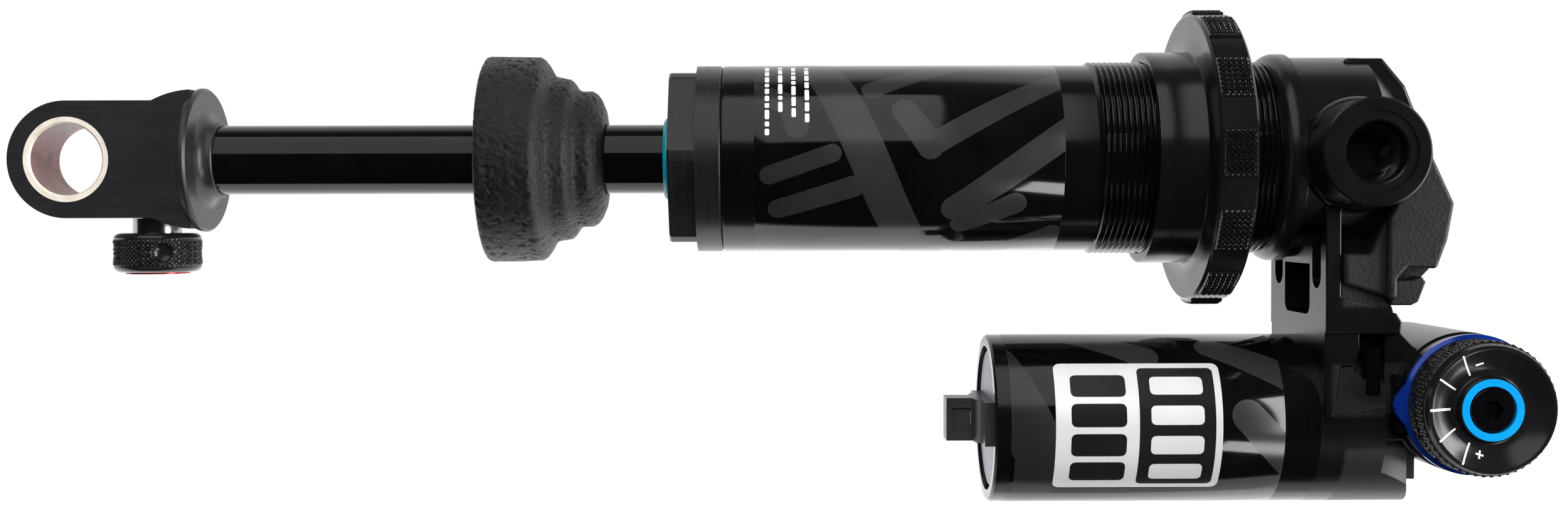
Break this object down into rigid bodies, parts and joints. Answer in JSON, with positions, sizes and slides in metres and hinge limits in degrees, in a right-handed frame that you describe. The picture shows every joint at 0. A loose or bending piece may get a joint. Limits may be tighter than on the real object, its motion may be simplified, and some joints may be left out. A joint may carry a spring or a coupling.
{
  "type": "bicycle rear shock",
  "caption": "Trunnion-mount coil-type rear shock without its spring: damper tube, sliding shaft with eyelet and bump stop, preload collar, piggyback reservoir and adjuster dials.",
  "frame": {"origin": "centre of the eyelet bore", "axes": "+X along the shaft from the eyelet to the trunnion axis; +Y along the eyelet bore and the trunnion axis, away from the dials; +Z away from the reservoir"},
  "size_m": [0.2674, 0.054, 0.0884],
  "materials": {
    "black_anodised": "gloss",
    "satin_forging": "satin",
    "knob_black": "satin",
    "black_plated_steel": "gloss",
    "polished_steel": "gloss",
    "bare_aluminium": "satin",
    "grey_cap": "satin",
    "black_rubber": "matt",
    "foam_rubber": "matt",
    "wiper_teal": "satin",
    "liner": "satin",
    "black_ptfe": "satin",
    "accent_red": "satin",
    "ring_sky_blue": "satin",
    "ring_royal_blue": "satin",
    "brass_valve": "satin"
  },
  "bodies": {
    "damper": {"seal_head": "black_anodised", "rod_wiper": "wiper_teal", "rod_seal": "black_rubber", "rod_guide": "black_ptfe", "seal_head_ring": "black_rubber", "damper_tube": "black_anodised", "tube_ring": "black_rubber", "damper_head": "satin_forging", "bridge_plug": "black_plated_steel", "reservoir_tube": "black_anodised", "reservoir_ring": "black_rubber", "reservoir_cap": "grey_cap", "reservoir_cap_ring": "black_rubber", "retaining_clip": "black_plated_steel", "charge_valve": "brass_valve", "valve_cover": "knob_black", "adjuster_housing": "bare_aluminium", "adjuster_index": "black_anodised", "base_valve": "bare_aluminium", "base_valve_shims": "polished_steel", "click_balls": "polished_steel", "click_springs": "polished_steel"},
    "shaft_assembly": {"eyelet_end": "black_anodised", "eyelet_bushing": "liner", "shaft": "black_plated_steel", "rebound_detent_balls": "polished_steel", "rebound_detent_springs": "polished_steel", "main_piston": "bare_aluminium", "piston_band": "black_ptfe", "rebound_shims": "polished_steel", "compression_shims": "polished_steel", "piston_nut": "polished_steel", "top_out_bumper": "black_rubber"},
    "rebound_dial": {"rebound_cam": "polished_steel", "rebound_cam_ring": "black_rubber", "rebound_knob": "knob_black", "rebound_accent": "accent_red", "rebound_screw": "polished_steel"},
    "rebound_needle": {"rebound_rod": "bare_aluminium"},
    "bumper": {"bump_stop": "foam_rubber"},
    "gas_piston": {"floating_piston": "bare_aluminium", "floating_piston_ring": "black_rubber"},
    "collar_carrier": {"collar_insert": "black_ptfe"},
    "collar": {"preload_collar": "black_anodised"},
    "high_speed_dial": {"hsc_knob": "knob_black", "hsc_ring": "ring_royal_blue", "hsc_stem": "polished_steel"},
    "low_speed_dial": {"lsc_knob": "knob_black", "lsc_ring": "ring_sky_blue", "lsc_screw": "black_plated_steel", "lsc_needle": "polished_steel"}
  },
  "joints": [
    {"name": "shaft_stroke", "type": "slide", "parent": "damper", "child": "shaft_assembly", "axis": [1, 0, 0], "range_m": [0, 0.07], "stiffness_N_per_m": 600, "springref_m": -0.06, "deforming": ["bump_stop"]},
    {"name": "bumper_slide", "type": "slide", "parent": "shaft_assembly", "child": "bumper", "axis": [-1, 0, 0], "range_m": [0, 0.0497]},
    {"name": "gas_piston_slide", "type": "slide", "parent": "damper", "child": "gas_piston", "axis": [-1, 0, 0], "range_m": [0, 0.016]},
    {"name": "rebound_turn", "type": "hinge", "parent": "shaft_assembly", "child": "rebound_dial", "pos_m": [0.0138, 0, -0.0166], "axis": [0, 0, -1], "range_deg": [0, 180]},
    {"name": "rebound_needle_slide", "type": "slide", "parent": "shaft_assembly", "child": "rebound_needle", "axis": [1, 0, 0], "range_m": [0, 0.00106]},
    {"name": "collar_advance", "type": "slide", "parent": "damper", "child": "collar_carrier", "axis": [1, 0, 0], "range_m": [-0.00301, 0.00301]},
    {"name": "collar_turn", "type": "hinge", "parent": "collar_carrier", "child": "collar", "pos_m": [0.2022, 0, 0], "axis": [1, 0, 0], "range_deg": [-1080, 1080]},
    {"name": "high_speed_turn", "type": "hinge", "parent": "damper", "child": "high_speed_dial", "pos_m": [0.2448, -0.0192, -0.0429], "axis": [0, -1, 0], "range_deg": [-60, 60]},
    {"name": "low_speed_turn", "type": "hinge", "parent": "damper", "child": "low_speed_dial", "pos_m": [0.2448, -0.0238, -0.0429], "axis": [0, -1, 0], "range_deg": [-60, 60]}
  ],
  "couplings": [
    {"joint": "bumper_slide", "follows": "shaft_stroke", "ratio": 0.708},
    {"joint": "gas_piston_slide", "follows": "shaft_stroke", "ratio": 0.22746},
    {"joint": "rebound_needle_slide", "follows": "rebound_turn", "m_per_rad": 0.00031831},
    {"joint": "collar_advance", "follows": "collar_turn", "m_per_rad": 0.00015915}
  ]
}
